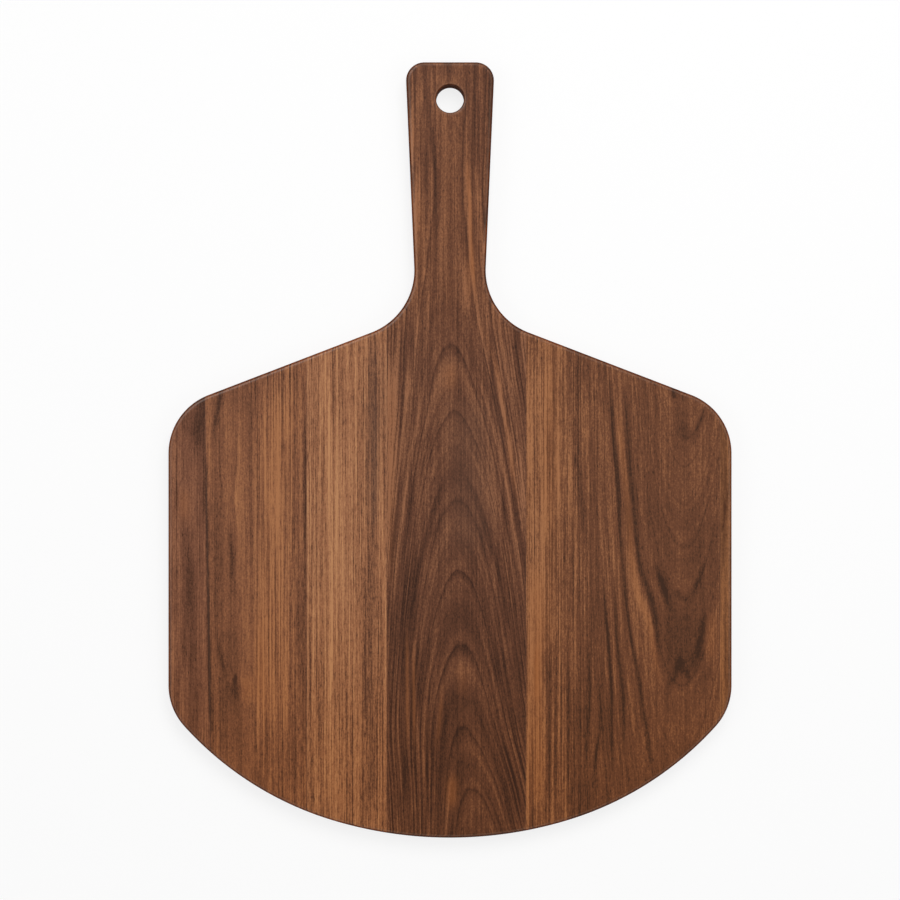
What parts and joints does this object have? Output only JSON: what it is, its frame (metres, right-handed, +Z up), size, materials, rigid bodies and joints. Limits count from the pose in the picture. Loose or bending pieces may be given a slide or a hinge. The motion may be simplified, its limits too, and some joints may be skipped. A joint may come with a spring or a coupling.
{
  "type": "paddle charcuterie board",
  "caption": "Wooden serving board glued up from staves, cut to a paddle with sloping shoulders, a curved foot and a flared handle that ends in a hanging hole.",
  "frame": {"origin": "centre of the board's box, on the underside that the board rests on", "axes": "+X across the board, +Y along it from the foot curve to the end of the handle, +Z up out of the face"},
  "size_m": [0.406, 0.559, 0.019],
  "materials": {
    "wood_left_edge": "satin",
    "wood_left_outer": "satin",
    "wood_left_inner": "satin",
    "wood_handle": "satin",
    "wood_right_wide": "satin",
    "wood_right_edge": "satin",
    "wood_glue": "matte"
  },
  "bodies": {
    "root": {"left_edge_stave": "wood_left_edge", "left_outer_stave": "wood_left_outer", "left_inner_stave": "wood_left_inner", "handle_stave": "wood_handle", "right_wide_stave": "wood_right_wide", "right_edge_strip": "wood_right_edge", "glue_line_left_edge": "wood_glue", "glue_line_left": "wood_glue", "glue_line_handle_left": "wood_glue", "glue_line_handle_right": "wood_glue", "glue_line_right_edge": "wood_glue"}
  },
  "joints": []
}
